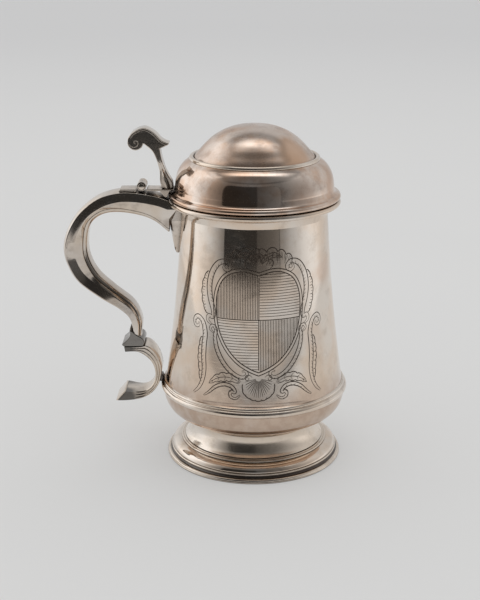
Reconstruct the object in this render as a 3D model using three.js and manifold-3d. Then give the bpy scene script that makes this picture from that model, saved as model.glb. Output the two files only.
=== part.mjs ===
// Lidded silver quart tankard. Millimetres, +Z up, foot on z = 0.
// The handle lies in the XZ plane on the -X side, the engraved front faces -Y.
import * as THREE from 'three';
import Module from 'manifold-3d';
import { mergeVertices } from 'three/addons/utils/BufferGeometryUtils.js';

const wasm = await Module();
wasm.setup();

// Driving dimensions.
const FOOT_RADIUS = 58;
const WAIST_RADIUS = 41;
const BAND_RADIUS = 61.7;
const BELLY_RADIUS = 58.3;
const MOUTH_RADIUS = 46.6;
const RIM_RADIUS = 55;
const FOOT_TOP = 29.4;
const BAND_BOTTOM = 46;
const BAND_TOP = 53;
const LIP_TOP = 174;
const TOTAL_HEIGHT = 220.6;
const WALL = 1.2;
const FLARE_POWER = 1.6;

// The lid: shoulder wall, the step under the dome, and the locating ring in the mouth.
const LID_BOTTOM = LIP_TOP + 0.3;
const SHOULDER_RADIUS = 50.6;
const SHOULDER_HEIGHT = 8;
const STEP_RADIUS = 39.7;
const STEP_HEIGHT = 200;
const BEZEL_CLEARANCE = 0.6;
const BEZEL_DEPTH = 4.5;

// The hinge.
const HINGE_X = -71.5;
const HINGE_Z = 181.7;
const KNUCKLE_RADIUS = 3.2;
const PIN_RADIUS = 1.1;
const PIN_FIT = 0.15;
const KNUCKLE_COUNT = 5;
const HINGE_WIDTH = 12.4;
const KNUCKLE_GAP = 0.2;
const LEAF_BOTTOM = 178.6;
const LEAF_THICKNESS = 1.3;

// The handle and the scroll castings.
const HANDLE_END_X = -55.2;
const HANDLE_WIDTH = 18;
const HANDLE_CHAMFER = 2.6;
const THUMB_WIDTH = 10.4;
const THUMB_CHAMFER = 0.8;

// Gaps: soldered seams between turned pieces, and pieces cut to fit a neighbour.
const SEAM = 0.05;
const CUT_GAP = 0.3;
const TURNED_SEGMENTS = 32;

const HALF_TURN = Math.PI;
const QUARTER_TURN = Math.PI / 2;

// ---------------------------------------------------------------- materials

function polishedSilver() {
  return new THREE.MeshStandardMaterial({ color: 0xd8cec2, roughness: 0.12, metalness: 1 });
}

function wornSilver() {
  return new THREE.MeshStandardMaterial({ color: 0xcabfb2, roughness: 0.22, metalness: 1 });
}

function castSilver() {
  return new THREE.MeshStandardMaterial({ color: 0xc4b9ab, roughness: 0.2, metalness: 1 });
}

// ---------------------------------------------------------------- helpers

function point(radius, height) {
  return new THREE.Vector2(radius, height);
}

function pointsOf(pairs) {
  return pairs.map(([a, b]) => point(a, b));
}

// A smooth run of points through the given ones.
function smooth(pairs, steps) {
  return new THREE.SplineCurve(pointsOf(pairs)).getPoints(steps);
}

// Points on a circular arc, angles in degrees.
function arc(centreA, centreB, radius, startAngle, endAngle, steps) {
  const points = [];
  for (let i = 0; i <= steps; i += 1) {
    const angle = THREE.MathUtils.degToRad(startAngle + (endAngle - startAngle) * i / steps);
    points.push(point(centreA + radius * Math.cos(angle), centreB + radius * Math.sin(angle)));
  }
  return points;
}

// The same run of points moved sideways by a constant amount.
function shifted(points, da, db) {
  return points.map((p) => point(p.x + da, p.y + db));
}

function reversed(points) {
  return [...points].reverse();
}

// Turns a closed profile of (radius, height) points about the Z axis.
function turned(profile) {
  const closed = [...profile];
  const first = profile[0];
  const last = profile[profile.length - 1];
  if (first.x > 0 || last.x > 0) {
    closed.push(first.clone());
  }
  const geometry = new THREE.LatheGeometry(closed, TURNED_SEGMENTS);
  geometry.rotateX(QUARTER_TURN);
  return geometry;
}

// Extrudes a closed side outline of (x, z) points across the handle plane.
function crosswise(outline, width, chamferDepth = 0, chamferWidth = 0) {
  const shape = new THREE.Shape(outline);
  const geometry = new THREE.ExtrudeGeometry(shape, {
    depth: width - 2 * chamferWidth,
    bevelEnabled: chamferWidth > 0,
    bevelThickness: chamferWidth,
    bevelSize: chamferDepth,
    bevelOffset: -chamferDepth,
    bevelSegments: 1,
    steps: 1,
    curveSegments: 1,
  });
  geometry.rotateX(QUARTER_TURN);
  geometry.translate(0, width / 2 - chamferWidth, 0);
  return geometry;
}

function toSolid(geometry) {
  const plain = geometry.clone();
  plain.deleteAttribute('normal');
  plain.deleteAttribute('uv');
  const merged = mergeVertices(plain, 1e-4);
  return new wasm.Manifold(new wasm.Mesh({
    numProp: 3,
    vertProperties: new Float32Array(merged.attributes.position.array),
    triVerts: new Uint32Array(merged.index.array),
  }));
}

function toGeometry(solid) {
  const mesh = solid.getMesh();
  const geometry = new THREE.BufferGeometry();
  geometry.setAttribute('position', new THREE.BufferAttribute(mesh.vertProperties, 3));
  geometry.setIndex(new THREE.BufferAttribute(mesh.triVerts, 1));
  geometry.computeVertexNormals();
  return geometry;
}

// Cuts every tool out of the blank.
function cutBy(blank, ...tools) {
  return toGeometry(tools.reduce((solid, tool) => solid.subtract(toSolid(tool)), toSolid(blank)));
}

function commonPart(a, b) {
  return toGeometry(toSolid(a).intersect(toSolid(b)));
}

// ---------------------------------------------------------------- body

// Outside radius of the flared wall between the band and the mouth.
function wallRadius(height) {
  const fall = (LIP_TOP - height) / (LIP_TOP - BAND_TOP);
  return MOUTH_RADIUS + (BELLY_RADIUS - MOUTH_RADIUS) * fall ** FLARE_POWER;
}

function wallRun(fromHeight, toHeight, steps, inset) {
  const points = [];
  for (let i = 0; i <= steps; i += 1) {
    const height = fromHeight + (toHeight - fromHeight) * i / steps;
    points.push(point(wallRadius(height) - inset, height));
  }
  return points;
}

// The rounded bowl between the foot and the band.
function bowlRun(inset, steps) {
  const outside = [
    [44, FOOT_TOP + 0.1],
    [48, 30.2],
    [52, 31.4],
    [55, 33.4],
    [57.6, 36.6],
    [59.4, 41],
    [60.2, BAND_BOTTOM],
  ];
  const inside = outside.map(([r, z]) => [r - inset, z + inset * (1 - (r - 44) / 20)]);
  return smooth(inside, steps);
}

function barrel() {
  const outerBowl = bowlRun(0, 7);
  const innerBowl = bowlRun(WALL, 5);
  return turned([
    point(0, FOOT_TOP + 0.1),
    ...outerBowl,
    ...wallRun(BAND_TOP, LIP_TOP, 6, 0),
    ...reversed(wallRun(BAND_TOP, LIP_TOP, 4, WALL)),
    ...reversed(innerBowl),
    point(0, FOOT_TOP + 0.1 + WALL),
  ]);
}

// The moulded rim wire: half-round edge with a small hollow under it.
function lipMoulding() {
  const inner = MOUTH_RADIUS + 0.15 + SEAM;
  return turned([
    point(inner + 0.1, 166.6),
    ...smooth([[47.4, 166.8], [48.4, 168.9], [52.2, 170.3]], 3),
    ...arc(RIM_RADIUS - 1.8, 172.1, 1.8, -70, 90, 4),
    point(inner, LIP_TOP - 0.1),
  ]);
}

// Three ribs of growing size on one applied band.
function midBand() {
  const back = [
    [60.2 + SEAM, BAND_BOTTOM + 0.1],
    [59.5 + SEAM, 49.5],
    [BELLY_RADIUS + SEAM + 0.02, BAND_TOP - 0.1],
  ];
  return turned([
    point(60.6, BAND_BOTTOM + 0.1),
    ...arc(BAND_RADIUS - 1.7, 47.75, 1.7, -60, 78, 4),
    ...arc(60.3, 50.35, 0.9, -50, 60, 3),
    ...arc(58.8, 51.6, 1.1, 0, 80, 2),
    ...reversed(pointsOf(back)),
  ]);
}

// ---------------------------------------------------------------- foot

function footCollar() {
  return turned([
    ...smooth([[45.9, 12.6], [43.2, 15.6], [WAIST_RADIUS, 21.5], [41.4, 26], [44.4, FOOT_TOP]], 6),
    point(40.4, FOOT_TOP),
    ...smooth([[39.6, 26.5], [39.4, 21.5], [41.5, 15.2], [43.6, 12.6]], 4),
  ]);
}

function footReededWire() {
  return turned([
    point(43.6, 10.2),
    point(48.4, 10.2),
    ...arc(47.5, 11.4, 1.05, -40, 110, 4),
    point(46, 12.5),
    point(43.6, 12.5),
  ]);
}

function footFlare() {
  return turned([
    ...smooth([[54.4, 6.2], [53.2, 8.4], [50.8, 9.7], [48.2, 10.1]], 5),
    point(44.2, 10.1),
    ...smooth([[47.4, 8.7], [50.6, 7.4], [52.4, 6.2]], 3),
  ]);
}

function footBaseWire() {
  return turned([
    point(50.8, 0),
    point(FOOT_RADIUS, 0),
    point(FOOT_RADIUS - 0.1, 1.4),
    point(57, 3.2),
    point(55.6, 3.8),
    ...arc(55.2, 4.9, 0.9, -50, 110, 3),
    point(54.4, 6.1),
    point(50.8, 6.1),
  ]);
}

// ---------------------------------------------------------------- lid

const LID_OUTSIDE = [
  [SHOULDER_RADIUS, LID_BOTTOM + SHOULDER_HEIGHT],
  [50.1, 186.4],
  [49.1, 190.1],
  [47.2, 193.8],
  [44.5, 196.9],
  [41.3, 199],
];

const DOME_OUTSIDE = [
  [38.6, 200.7],
  [36.7, 202.6],
  [34, 205.4],
  [30.6, 209.1],
  [26, 213.1],
  [19.4, 216.9],
  [11, 219.6],
  [0, TOTAL_HEIGHT],
];

function lidCover() {
  const shoulder = smooth(LID_OUTSIDE, 6);
  const dome = smooth(DOME_OUTSIDE, 8);
  const innerShoulder = shifted(smooth(LID_OUTSIDE, 4), -WALL, -WALL / 2);
  const innerDome = shifted(smooth(DOME_OUTSIDE, 6).slice(0, -1), -WALL / 2, -WALL);
  return turned([
    point(SHOULDER_RADIUS, LID_BOTTOM + 0.1),
    ...shoulder,
    ...dome,
    point(0, TOTAL_HEIGHT - WALL),
    ...reversed(innerDome),
    ...reversed(innerShoulder),
    point(SHOULDER_RADIUS - WALL, LID_BOTTOM + 0.1),
  ]);
}

// The bead that marks the step between shoulder and dome.
function lidStepWire() {
  return turned([
    point(STEP_RADIUS + 1.6, 199.1),
    ...arc(STEP_RADIUS + 0.7, 199.9, 1, -20, 120, 4),
    point(STEP_RADIUS - 0.4, 200.4),
  ]);
}

// The moulded edge that overhangs the mouth: hollow above, bead at the edge.
function lidRimMoulding() {
  const inner = SHOULDER_RADIUS + SEAM;
  return turned([
    point(inner, LID_BOTTOM),
    point(RIM_RADIUS - 0.7, LID_BOTTOM),
    ...arc(RIM_RADIUS - 1.1, LID_BOTTOM + 1.1, 1.1, -50, 50, 3),
    ...arc(RIM_RADIUS - 1.3, LID_BOTTOM + 2.7, 0.9, -40, 90, 3),
    ...smooth([[52.6, 178.3], [51.3, 179.8], [inner + 0.1, LID_BOTTOM + SHOULDER_HEIGHT - 0.6]], 3),
  ]);
}

// The ring that centres the lid in the mouth.
function lidBezel() {
  const outer = MOUTH_RADIUS - WALL - BEZEL_CLEARANCE;
  const flange = SHOULDER_RADIUS - WALL - SEAM;
  return turned([
    point(outer - WALL, LIP_TOP - BEZEL_DEPTH),
    point(outer - 0.5, LIP_TOP - BEZEL_DEPTH),
    point(outer, LIP_TOP - BEZEL_DEPTH + 1.5),
    point(outer, LID_BOTTOM + 0.1),
    point(flange, LID_BOTTOM + 0.1),
    point(flange, LID_BOTTOM + WALL),
    point(outer - WALL, LID_BOTTOM + WALL),
  ]);
}

// A blank round every turned lid piece, larger by the cut gap.
function lidEnvelope() {
  const shell = LID_OUTSIDE.map(([r, z]) => [r + CUT_GAP, z + CUT_GAP / 2]);
  return turned([
    point(0, LID_BOTTOM - 1),
    point(RIM_RADIUS + CUT_GAP, LID_BOTTOM - 1),
    point(RIM_RADIUS + CUT_GAP, LID_BOTTOM + 3),
    point(54, 178.4),
    point(52.4, 179.4),
    point(51.4, 180.8),
    ...smooth(shell, 6),
    point(0, STEP_HEIGHT + 10),
  ]);
}

// A blank round the body, lip and band, larger by the cut gap.
function bodyEnvelope() {
  return turned([
    point(0, FOOT_TOP),
    ...shifted(bowlRun(0, 7), CUT_GAP, 0),
    point(BAND_RADIUS + CUT_GAP, BAND_BOTTOM - 0.2),
    point(BAND_RADIUS + CUT_GAP, 50.5),
    point(60.4 + CUT_GAP, 52),
    point(BELLY_RADIUS + CUT_GAP, BAND_TOP + CUT_GAP),
    ...wallRun(BAND_TOP + 1, 166.2, 6, -CUT_GAP),
    point(48.4 + CUT_GAP, 168.6),
    point(52.2 + CUT_GAP, 169.9),
    point(RIM_RADIUS + CUT_GAP, 171.4),
    point(RIM_RADIUS + CUT_GAP, LIP_TOP + CUT_GAP),
    point(0, LIP_TOP + CUT_GAP),
  ]);
}

// ---------------------------------------------------------------- handle

const UPPER_BACK = [
  [HANDLE_END_X, 173.8],
  [-63, 176.4],
  [-75.5, 178.4],
  [-86, 178.6],
  [-98, 175.6],
  [-107, 170],
  [-115, 162],
  [-121, 151],
  [-123.2, 140],
  [-121, 129.5],
  [-114.4, 118.4],
  [-101, 107.9],
  [-88.4, 99.9],
  [-82.4, 93],
  [-80.6, 83.4],
];

const UPPER_INSIDE = [
  [-73.8, 83],
  [-73.4, 93.2],
  [-78.6, 104.2],
  [-90, 113.8],
  [-100.6, 123.8],
  [-106, 134],
  [-107.2, 144],
  [-105, 156],
  [-98.4, 163.4],
  [-88, 166.2],
  [-74, 165],
  [-64, 161.4],
  [HANDLE_END_X, 153.9],
];

const BACK_STEPS = 24;
const INSIDE_STEPS = 20;

// The seam runs this far behind the inside line.
const SEAM_DEPTH = 3.8;

// Moves an open run of points sideways along its own normal.
function offsetRun(points, distance) {
  return points.map((p, i) => {
    const before = points[Math.max(i - 1, 0)];
    const after = points[Math.min(i + 1, points.length - 1)];
    const along = after.clone().sub(before).normalize();
    return point(p.x - along.y * distance, p.y + along.x * distance);
  });
}

function upperScrollBlank() {
  const outline = [...smooth(UPPER_BACK, BACK_STEPS), ...smooth(UPPER_INSIDE, INSIDE_STEPS)];
  const blank = crosswise(outline, HANDLE_WIDTH, HANDLE_CHAMFER, HANDLE_CHAMFER);
  return cutBy(blank, bodyEnvelope());
}

// Everything on the hand side of the seam line.
function seamSide(gap) {
  const inside = smooth(UPPER_INSIDE, INSIDE_STEPS);
  const first = inside[0];
  const last = inside[inside.length - 1];
  const seam = offsetRun(inside, SEAM_DEPTH + gap);
  const margin = offsetRun(inside, -4);
  return crosswise([
    point(first.x, first.y - 6),
    ...margin,
    point(last.x + 4, last.y - 4),
    point(last.x + 6, last.y + 1.5),
    ...reversed(seam),
    point(first.x - SEAM_DEPTH - gap, first.y - 6),
  ], HANDLE_WIDTH + 4);
}

function handleUpperInside(blank) {
  return commonPart(blank, seamSide(0));
}

function handleUpperBack(blank) {
  return cutBy(blank, seamSide(SEAM));
}

function handleSpur() {
  return crosswise(pointsOf([
    [-86.8, 76.4],
    [-85.8, 75.2],
    [-72.7, 75.5],
    [-70.2, 79.2],
    [-74.2, 82.6],
    [-80.8, 83],
  ]), HANDLE_WIDTH, 0.6, 0.6);
}

const LOWER_BACK = [
  [-69.8, 78.8],
  [-66, 75],
  [-62.8, 70],
  [-61.2, 64.4],
  [-60.9, 58.6],
  [-62.2, 51],
  [-64.6, 46.2],
  [-68.4, 42],
  [-73.4, 39.1],
  [-79, 37.6],
  [-84.6, 37.1],
  [-90.2, 37.1],
];

const LOWER_INSIDE = [
  [-84.7, 42.9],
  [-79, 42.8],
  [-73.4, 43.3],
  [-69.6, 45.2],
  [-66.8, 48.8],
  [-65.2, 54],
  [-65.2, 60],
  [-67, 65.2],
  [-70.4, 69],
  [-75, 71.2],
  [-80, 71.7],
  [-84.4, 71.6],
];

function lowerScrollBlank() {
  const outline = [
    point(-85.2, 74.8),
    point(-72.6, 75.1),
    ...smooth(LOWER_BACK, INSIDE_STEPS),
    ...smooth(LOWER_INSIDE, INSIDE_STEPS),
  ];
  return cutBy(crosswise(outline, HANDLE_WIDTH, 0.9, 1.4), bodyEnvelope());
}

const LOWER_SEAM_DEPTH = 2;

function lowerSeamSide(gap) {
  const inside = smooth(LOWER_INSIDE, INSIDE_STEPS);
  const first = inside[0];
  const last = inside[inside.length - 1];
  return crosswise([
    point(first.x - 6, first.y - LOWER_SEAM_DEPTH - gap),
    ...offsetRun(inside, -LOWER_SEAM_DEPTH - gap),
    point(last.x - 4, last.y + LOWER_SEAM_DEPTH + gap),
    point(last.x - 4, last.y - 4),
    ...reversed(offsetRun(inside, 3)),
    point(first.x - 6, first.y + 3),
  ], HANDLE_WIDTH + 4);
}

function handleLowerInside(blank) {
  return commonPart(blank, lowerSeamSide(0));
}

function handleLowerBack(blank) {
  return cutBy(blank, lowerSeamSide(SEAM));
}

// The plate that closes the cut end of the lower scroll.
function handleEndPlate() {
  return crosswise(pointsOf([
    [-90.35, 37.1],
    [-84.85, 42.95],
    [-85.7, 43.1],
    [-91.4, 37.2],
  ]), HANDLE_WIDTH - 0.6);
}

// The tapering drop under the upper joint, flattened against the wall.
function upperDrop() {
  const profile = [
    point(0, 0),
    ...smooth([[0.9, 0.1], [1.7, 1.2], [2.4, 7], [3.4, 15], [3.7, 30]], 7),
    point(0, 30),
  ];
  const blank = new THREE.LatheGeometry(profile, 16);
  blank.rotateX(QUARTER_TURN);
  blank.scale(1, 1.7, 1);
  blank.rotateY(THREE.MathUtils.degToRad(-1.5));
  blank.translate(-50.5, 0, 136.4);
  const handleEnd = crosswise(pointsOf([
    [HANDLE_END_X + CUT_GAP, 150],
    [HANDLE_END_X + CUT_GAP, LIP_TOP],
    [HANDLE_END_X - 10, LIP_TOP],
    [HANDLE_END_X - 10, 150],
  ]), HANDLE_WIDTH + 4);
  return cutBy(blank, bodyEnvelope(), handleEnd);
}

// The block that ties the lower scroll to the body above the band.
function lowerSocket() {
  const blank = crosswise(pointsOf([
    [-60.6, 53.8],
    [-60.3, 61],
    [-56, 61.8],
    [-56, 53.8],
  ]), 10);
  const scroll = crosswise([
    ...shifted(smooth(LOWER_BACK, INSIDE_STEPS), CUT_GAP, 0),
    point(-90, 60),
  ], HANDLE_WIDTH + 2);
  return cutBy(blank, bodyEnvelope(), scroll);
}

// ---------------------------------------------------------------- hinge

// A round bar along the hinge axis between two crosswise stations.
function hingeBar(radius, from, to) {
  const bar = new THREE.CylinderGeometry(radius, radius, to - from, 24);
  bar.translate(HINGE_X, (from + to) / 2, 0);
  bar.translate(0, 0, HINGE_Z);
  return bar;
}

function knuckle(index) {
  const pitch = HINGE_WIDTH / KNUCKLE_COUNT;
  const from = -HINGE_WIDTH / 2 + index * pitch + KNUCKLE_GAP / 2;
  const to = from + pitch - KNUCKLE_GAP;
  return cutBy(hingeBar(KNUCKLE_RADIUS, from, to), hingeBar(PIN_RADIUS + PIN_FIT, from - 1, to + 1));
}

function hingePin() {
  const half = HINGE_WIDTH / 2 + 0.4;
  return hingeBar(PIN_RADIUS, -half, half);
}

function knuckleSpace() {
  const half = HINGE_WIDTH / 2 + 2;
  return hingeBar(KNUCKLE_RADIUS + 0.15, -half, half);
}

// The leaf soldered to the handle's back.
function handleHingeLeaf() {
  const blank = crosswise(pointsOf([
    [-86, LEAF_BOTTOM],
    [HINGE_X, LEAF_BOTTOM],
    [HINGE_X, LEAF_BOTTOM + LEAF_THICKNESS],
    [-85, LEAF_BOTTOM + LEAF_THICKNESS],
  ]), HINGE_WIDTH);
  const handle = crosswise([
    ...shifted(smooth(UPPER_BACK, BACK_STEPS), 0, SEAM),
    point(-70, 100),
    point(-55, 120),
  ], HANDLE_WIDTH + 2);
  return cutBy(blank, knuckleSpace(), handle);
}

// The strap from the hinge to the lid's edge, with its pointed drop over the rim.
function lidHingeStrap() {
  const blank = crosswise(pointsOf([
    [HINGE_X, LEAF_BOTTOM + 0.2],
    [-60, LEAF_BOTTOM + 0.2],
    [-57, LID_BOTTOM + 0.4],
    [-55.4, LID_BOTTOM + 0.2],
    [-51, LEAF_BOTTOM],
    [-51, LEAF_BOTTOM + LEAF_THICKNESS],
    [HINGE_X, LEAF_BOTTOM + LEAF_THICKNESS],
  ]), HINGE_WIDTH);
  return cutBy(blank, knuckleSpace(), lidEnvelope());
}

// The scroll thumbpiece: stem, arch, volute and forward leaf.
function thumbpiece() {
  const foot = LEAF_BOTTOM + LEAF_THICKNESS + SEAM;
  const stemInside = smooth([[-60.2, 184.5], [-60, 191], [-61.2, 197], [-64.2, 204], [-69.4, 208.8]], 8);
  const volute = arc(-74.8, 208.4, 5.2, -10, -190, 9);
  const arch = smooth([[-79.6, 211], [-76.4, 216], [-69.5, 218.8], [-63.2, 216], [-58, 210.9]], 9);
  const stemFront = smooth([[-59.6, 205.6], [-58, 197.6], [-55.2, 190.6], [-52.2, 184.4]], 6);
  const outline = [
    point(-58.6, foot),
    ...stemInside,
    ...volute,
    ...arch,
    point(-53.9, 209.2),
    point(-56.8, 206.8),
    ...stemFront,
    point(-51.6, foot),
  ];
  const blank = crosswise(reversed(outline), THUMB_WIDTH, THUMB_CHAMFER, THUMB_CHAMFER);
  return cutBy(blank, lidEnvelope());
}

// ---------------------------------------------------------------- assembly

function assemble() {
  const tankard = new THREE.Group();
  tankard.name = 'tankard';
  const add = (name, geometry, material) => {
    const mesh = new THREE.Mesh(geometry, material);
    mesh.name = name;
    tankard.add(mesh);
  };

  add('barrel', barrel(), polishedSilver());
  add('lip_moulding', lipMoulding(), polishedSilver());
  add('mid_band', midBand(), polishedSilver());
  add('foot_collar', footCollar(), polishedSilver());
  add('foot_reeded_wire', footReededWire(), wornSilver());
  add('foot_flare', footFlare(), polishedSilver());
  add('foot_base_wire', footBaseWire(), wornSilver());

  add('lid_cover', lidCover(), polishedSilver());
  add('lid_step_wire', lidStepWire(), wornSilver());
  add('lid_rim_moulding', lidRimMoulding(), polishedSilver());
  add('lid_bezel', lidBezel(), wornSilver());
  add('lid_hinge_strap', lidHingeStrap(), castSilver());
  add('thumbpiece', thumbpiece(), castSilver());

  const upperBlank = upperScrollBlank();
  add('handle_upper_back', handleUpperBack(upperBlank), polishedSilver());
  add('handle_upper_inside', handleUpperInside(upperBlank), polishedSilver());
  add('handle_spur', handleSpur(), castSilver());
  const lowerBlank = lowerScrollBlank();
  add('handle_lower_back', handleLowerBack(lowerBlank), polishedSilver());
  add('handle_lower_inside', handleLowerInside(lowerBlank), polishedSilver());
  add('handle_end_plate', handleEndPlate(), wornSilver());
  add('upper_drop', upperDrop(), castSilver());
  add('lower_socket', lowerSocket(), castSilver());

  add('handle_hinge_leaf', handleHingeLeaf(), castSilver());
  for (let i = 0; i < KNUCKLE_COUNT; i += 1) {
    const owner = i % 2 === 0 ? 'handle' : 'lid';
    add(`${owner}_knuckle_${i + 1}`, knuckle(i), castSilver());
  }
  add('hinge_pin', hingePin(), wornSilver());
  return tankard;
}

// The middle of the footprint goes to the origin, the foot to z = 0.
function centred(group) {
  const bounds = new THREE.Box3().setFromObject(group);
  const middle = bounds.getCenter(new THREE.Vector3());
  group.position.set(-middle.x, -middle.y, -bounds.min.z);
  return group;
}

export default centred(assemble());
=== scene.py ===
# Looks of the lidded silver tankard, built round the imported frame. Metres, +Z up.
# Shapes are written in millimetres from the body's own axis, and place() moves them into the frame.
from math import cos, dist, exp, hypot, pi, radians, sin, sqrt

import bmesh
import bpy
import numpy as np
from mathutils import Euler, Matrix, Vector, noise


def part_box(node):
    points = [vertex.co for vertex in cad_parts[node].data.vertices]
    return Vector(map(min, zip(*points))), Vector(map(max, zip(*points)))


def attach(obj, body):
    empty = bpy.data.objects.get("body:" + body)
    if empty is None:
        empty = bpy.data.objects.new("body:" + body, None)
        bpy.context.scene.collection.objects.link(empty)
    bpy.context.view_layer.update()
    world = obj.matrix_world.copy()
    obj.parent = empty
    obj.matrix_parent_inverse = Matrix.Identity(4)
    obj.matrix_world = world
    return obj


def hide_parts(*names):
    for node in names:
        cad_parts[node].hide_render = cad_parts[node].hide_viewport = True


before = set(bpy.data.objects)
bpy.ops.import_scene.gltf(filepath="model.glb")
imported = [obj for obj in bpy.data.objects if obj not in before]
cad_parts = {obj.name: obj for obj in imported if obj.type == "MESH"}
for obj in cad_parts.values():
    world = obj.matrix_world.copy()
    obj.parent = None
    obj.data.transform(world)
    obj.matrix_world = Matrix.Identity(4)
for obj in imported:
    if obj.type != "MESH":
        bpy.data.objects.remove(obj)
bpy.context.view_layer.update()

SCENE = bpy.context.scene
MM = 0.001
TURN = 2 * pi

# Where the turned parts' common axis stands in the frame, and the two bodies.
BARREL_LOW, BARREL_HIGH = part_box("barrel")
AXIS_X = (BARREL_LOW.x + BARREL_HIGH.x) / 2
BODY, LID = "body", "lid"
POLISHED, WORN, CAST = "polished_silver", "worn_silver", "cast_silver"

SEGMENTS, FINE_SEGMENTS = 224, 256  # round a turned piece, and round the large hammered ones
TINY = 1e-12  # keeps a division safe at zero length
WALL = 1.2  # thickness of the barrel's sheet
FLOOR = 29.5  # underside of the barrel's floor
LIP_TOP = BARREL_HIGH.z / MM
WALL_TOP = LIP_TOP - 0.3  # where the wall rounds over into its edge
BAND_TOP = 53.0
BELLY_RADIUS, MOUTH_RADIUS, RIM_RADIUS = 58.3, 46.6, 55.0
FLARE_POWER = 1.6
FULLEST, FULLNESS = 0.3, 0.45  # share of the way down where the barrel is fullest, and by how much
BODY_RIPPLE, LID_RIPPLE = 0.022, 0.016  # depth of the faint hammering
HINGE_LOW, HINGE_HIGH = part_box("hinge_pin")
HINGE_X = ((HINGE_LOW.x + HINGE_HIGH.x) / 2 - AXIS_X) / MM
HINGE_Z = (HINGE_LOW.z + HINGE_HIGH.z) / 2 / MM


# ---- curves

def smooth(share):
    """An eased step from 0 to 1."""
    share = min(1.0, max(0.0, share))
    return share * share * (3 - 2 * share)


def spline(points, steps):
    """A smooth run of steps + 1 points through the given ones."""
    p = np.array(points, float)
    last = len(p) - 1
    run = []
    for k in range(steps + 1):
        t = k / steps * last
        i = min(int(t), last - 1)
        w = t - i
        before, a, b, after = p[max(i - 1, 0)], p[i], p[i + 1], p[min(i + 2, last)]
        va, vb = (b - before) / 2, (after - a) / 2
        cubic, square = 2 * a - 2 * b + va + vb, 3 * b - 3 * a - 2 * va - vb
        run.append(cubic * w ** 3 + square * w ** 2 + va * w + a)
    return [tuple(float(c) for c in q) for q in run]


def arc(centre, radius, start, end, steps):
    """Points on a circular arc, angles in degrees."""
    angles = [radians(start + (end - start) * k / steps) for k in range(steps + 1)]
    return [(centre[0] + radius * cos(a), centre[1] + radius * sin(a)) for a in angles]


def spiral(centre, start, step, radius, count, flip=1):
    """A spiral that closes slowly, from an angle in radians, one step at a time."""
    turns = [(start + step * k, radius * exp(-0.055 * k)) for k in range(count)]
    return [(centre[0] + flip * r * cos(a), centre[1] + r * sin(a)) for a, r in turns]


def shifted(run, da, db):
    return [(a + da, b + db) for a, b in run]


def mirrored(run):
    return [(-a, b) for a, b in run]


def unit(vectors):
    return vectors / (np.linalg.norm(vectors, axis=-1, keepdims=True) + TINY)


def directions(run):
    """Unit vectors along an open run, as an array."""
    return unit(np.gradient(np.array(run, float), axis=0))


def inward(run):
    """Unit normals to the right of an open (x, z) run."""
    return [(a[1], -a[0]) for a in directions(run).tolist()]


def beside(run, distances):
    """The run moved to its right by a distance at each point."""
    return [(x + d * nx, z + d * nz) for (x, z), (nx, nz), d in zip(run, inward(run), distances)]


def even(run, count):
    """The same line cut into count equal steps."""
    p = np.array(run, float)
    length = np.concatenate([[0], np.cumsum(np.linalg.norm(np.diff(p, axis=0), axis=1))])
    at = np.linspace(0, length[-1], count + 1)
    columns = [np.interp(at, length, p[:, k]) for k in range(p.shape[1])]
    return [tuple(q) for q in np.stack(columns, 1).tolist()]


def inset(outline, distance):
    """A closed outline moved inwards by a distance. The outline runs counterclockwise."""
    p = np.array(outline, float)
    ahead, behind = unit(np.roll(p, -1, 0) - p), unit(p - np.roll(p, 1, 0))
    na, nb = [np.stack([-way[:, 1], way[:, 0]], 1) for way in (ahead, behind)]
    middle = unit(na + nb)
    sharpest = 0.6      # keeps a sharp corner from shooting inwards
    reach = 1 / np.clip((middle * na).sum(1), sharpest, 1)
    return [tuple(q) for q in (p + middle * (distance * reach)[:, None]).tolist()]


# ---- meshes

def place(x, y, z):
    return (AXIS_X + x * MM, y * MM, z * MM)


def shown(name, verts, faces, material):
    """A mesh object in the scene, and its mesh."""
    mesh = bpy.data.meshes.new(name)
    mesh.from_pydata(verts, [], faces)
    mesh.materials.append(material)
    made = bpy.data.objects.new(name, mesh)
    SCENE.collection.objects.link(made)
    return made, mesh


def piece(name, shells, material, body, nodes=(), crease=32):
    """One object from closed shells of (points in millimetres, faces), with sharp edges past the crease."""
    verts, faces = [], []
    for points, shell in shells:
        start = len(verts)
        verts += [place(*p) for p in points]
        faces += [tuple(start + i for i in face) for face in shell]
    made, mesh = shown(name, verts, faces, material)
    work = bmesh.new()
    work.from_mesh(mesh)
    bmesh.ops.recalc_face_normals(work, faces=work.faces)
    work.to_mesh(mesh)
    work.free()
    mesh.shade_smooth()
    mesh.set_sharp_from_angle(angle=radians(crease))
    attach(made, body)
    if nodes:
        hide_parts(*nodes)


def turned(profile, segments, ripple):
    """A closed (radius, height) profile turned about the body axis. A ripple leaves faint hammering."""
    points, rings = [], []
    for r, z in profile:
        start = len(points)
        if r < TINY:
            points.append((0.0, 0.0, z))
            rings.append([start])
            continue
        for k in range(segments):
            a = TURN * k / segments
            reach = r + ripple * hammering(a, z, r)
            points.append((reach * cos(a), reach * sin(a), z))
        rings.append(list(range(start, start + segments)))
    faces = []
    for low, high in zip(rings, rings[1:] + rings[:1]):
        if len(low) + len(high) == 2:       # along the axis
            continue
        for k in range(segments):
            n = (k + 1) % segments
            corners = (low[k % len(low)], low[n % len(low)], high[n % len(high)], high[k % len(high)])
            faces.append(tuple(dict.fromkeys(corners)))
    return points, faces


def lathed(name, profile, material, body, slot, *nodes, segments=SEGMENTS, ripple=0.0):
    piece(name, [turned(profile, segments, ripple)], material, body, nodes)


def hammering(angle, height, radius):
    """A slow unevenness between -1 and 1, the same for every piece that asks at one place."""
    at = Vector((radius * cos(angle), radius * sin(angle), height))
    return 0.7 * noise.noise(at / 17) + 0.3 * noise.noise(at / 6)


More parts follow.
